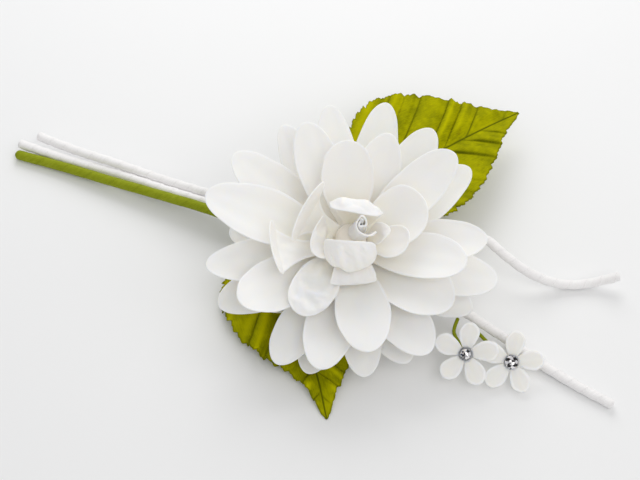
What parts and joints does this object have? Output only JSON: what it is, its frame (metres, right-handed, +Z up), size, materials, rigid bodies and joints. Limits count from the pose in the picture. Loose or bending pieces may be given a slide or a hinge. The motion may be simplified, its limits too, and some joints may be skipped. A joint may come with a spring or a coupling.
{
  "type": "artificial peony flower",
  "caption": "White foam peony on paper-wrapped wires, with two moulded fabric leaves and small crystal-set blossoms, lying on a table.",
  "frame": {"origin": "middle of the spray's box on the surface that it lies on", "axes": "+X from the cut stem ends towards the free wire ends, +Y away from the viewer, +Z up from the surface"},
  "size_m": [0.1772, 0.1026, 0.0404],
  "materials": {
    "foam": "soft matte white craft foam, warmer in the recesses",
    "core": "matte ivory foam with glue marks",
    "felt": "white felt",
    "leaf": "starched yellow-green satin with pressed veins",
    "tape": "green florist's paper tape",
    "paper": "white crepe paper wrapped in a spiral",
    "crystal": "clear cut glass with a foil back"
  },
  "bodies": {
    "root": {"flower_core": "core", "back_disc": "felt", "bud_heart": "foam", "skirt_petal_1": "foam", "skirt_petal_2": "foam", "skirt_petal_3": "foam", "skirt_petal_4": "foam", "skirt_petal_5": "foam", "skirt_petal_6": "foam", "skirt_petal_7": "foam", "skirt_petal_8": "foam", "outer_petal_1": "foam", "outer_petal_2": "foam", "outer_petal_3": "foam", "outer_petal_4": "foam", "outer_petal_5": "foam", "outer_petal_6": "foam", "outer_petal_7": "foam", "middle_petal_1": "foam", "middle_petal_2": "foam", "middle_petal_3": "foam", "middle_petal_4": "foam", "middle_petal_5": "foam", "middle_petal_6": "foam", "upper_petal_1": "foam", "upper_petal_2": "foam", "upper_petal_3": "foam", "upper_petal_4": "foam", "upper_petal_5": "foam", "upper_petal_6": "foam", "inner_petal_1": "foam", "inner_petal_2": "foam", "inner_petal_3": "foam", "inner_petal_4": "foam", "inner_petal_5": "foam", "inner_petal_6": "foam", "bud_petal_1": "foam", "bud_petal_2": "foam", "bud_petal_3": "foam", "bud_petal_4": "foam", "bud_petal_5": "foam", "green_stem": "tape", "white_wire_back": "paper", "white_wire_front": "paper", "binding_tape": "tape", "leaf_back": "leaf", "leaf_front": "leaf", "blossom_left": "foam", "crystal_left": "crystal", "blossom_right": "foam", "crystal_right": "crystal", "blossom_twig_left": "tape", "blossom_twig_right": "tape"}
  },
  "joints": []
}
